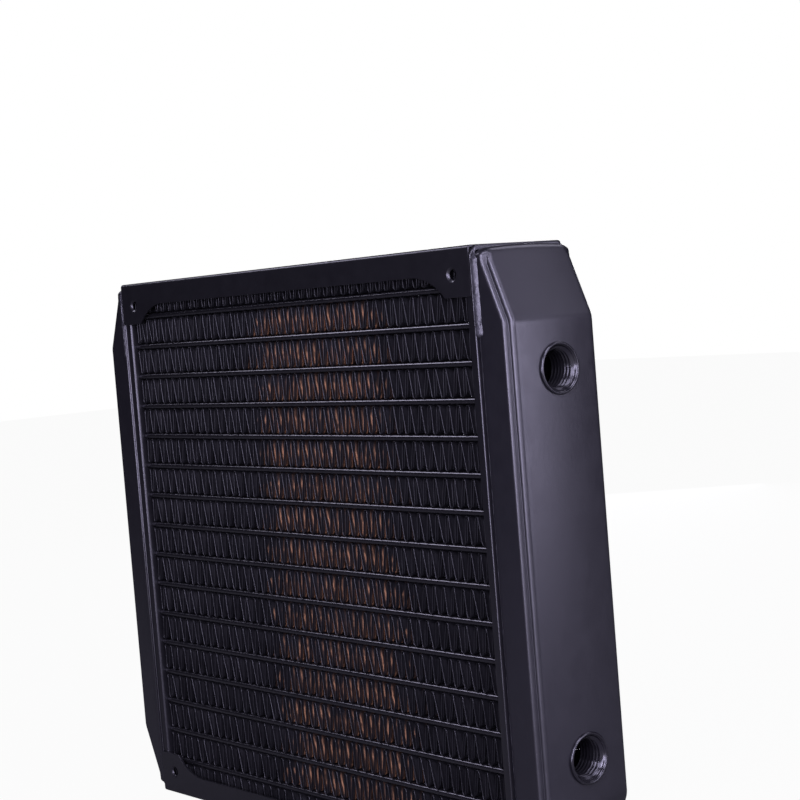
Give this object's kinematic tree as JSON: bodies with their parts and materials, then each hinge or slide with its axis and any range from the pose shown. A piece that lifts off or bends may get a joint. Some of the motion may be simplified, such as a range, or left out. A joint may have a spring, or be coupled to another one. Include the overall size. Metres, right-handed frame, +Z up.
{
  "type": "liquid cooling radiator",
  "caption": "Flat liquid cooling radiator with finned tubes between two end tanks, folded side plates with fan screw holes, threaded hose ports and a bleed plug.",
  "frame": {"origin": "centre of the underside of the lower side plate, midway along the fan screw holes and midway between the fan faces", "axes": "+X along the tubes towards the tank with both hose ports, -Y out of one fan face, +Z up across the tubes"},
  "size_m": [0.2306, 0.04, 0.197],
  "materials": {
    "black_paint": "satin black paint",
    "tank_paint": "satin black paint",
    "tube_paint": "satin black paint, thin at the edges",
    "copper_fin": "copper foil, black painted at both faces of the core",
    "bare_brass": "bare",
    "port_finish": "black, worn bright on the thread crests",
    "plug_finish": "satin black",
    "seal_rubber": "matt"
  },
  "bodies": {
    "radiator": {"top_side_plate": "black_paint", "bottom_side_plate": "black_paint", "port_header_plate": "black_paint", "return_header_plate": "black_paint", "port_tank_shell": "tank_paint", "return_tank_shell": "tank_paint", "tank_divider": "bare_brass", "upper_port_bush": "port_finish", "lower_port_bush": "port_finish", "bleed_port_bush": "port_finish", "flat_tube_01": "tube_paint", "flat_tube_02": "tube_paint", "flat_tube_03": "tube_paint", "flat_tube_04": "tube_paint", "flat_tube_05": "tube_paint", "flat_tube_06": "tube_paint", "flat_tube_07": "tube_paint", "flat_tube_08": "tube_paint", "flat_tube_09": "tube_paint", "flat_tube_10": "tube_paint", "flat_tube_11": "tube_paint", "flat_tube_12": "tube_paint", "flat_tube_13": "tube_paint", "flat_tube_14": "tube_paint", "flat_tube_15": "tube_paint", "flat_tube_16": "tube_paint", "fin_strip_01": "copper_fin", "fin_strip_02": "copper_fin", "fin_strip_03": "copper_fin", "fin_strip_04": "copper_fin", "fin_strip_05": "copper_fin", "fin_strip_06": "copper_fin", "fin_strip_07": "copper_fin", "fin_strip_08": "copper_fin", "fin_strip_09": "copper_fin", "fin_strip_10": "copper_fin", "fin_strip_11": "copper_fin", "fin_strip_12": "copper_fin", "fin_strip_13": "copper_fin", "fin_strip_14": "copper_fin", "fin_strip_15": "copper_fin", "fin_strip_16": "copper_fin", "fin_strip_17": "copper_fin"},
    "plug_seal": {"bleed_plug_seal": "seal_rubber"},
    "plug": {"bleed_plug": "plug_finish"}
  },
  "joints": [
    {"name": "bleed_plug_travel", "type": "slide", "parent": "radiator", "child": "plug_seal", "axis": [-1, 0, 0], "range_m": [0, 0.0067]},
    {"name": "bleed_plug_turn", "type": "hinge", "parent": "plug_seal", "child": "plug", "pos_m": [-0.1136, 0, 0.158], "axis": [-1, 0, 0], "range_deg": [0, 1800]}
  ],
  "couplings": [
    {"joint": "bleed_plug_travel", "follows": "bleed_plug_turn", "m_per_rad": 0.00021279}
  ]
}
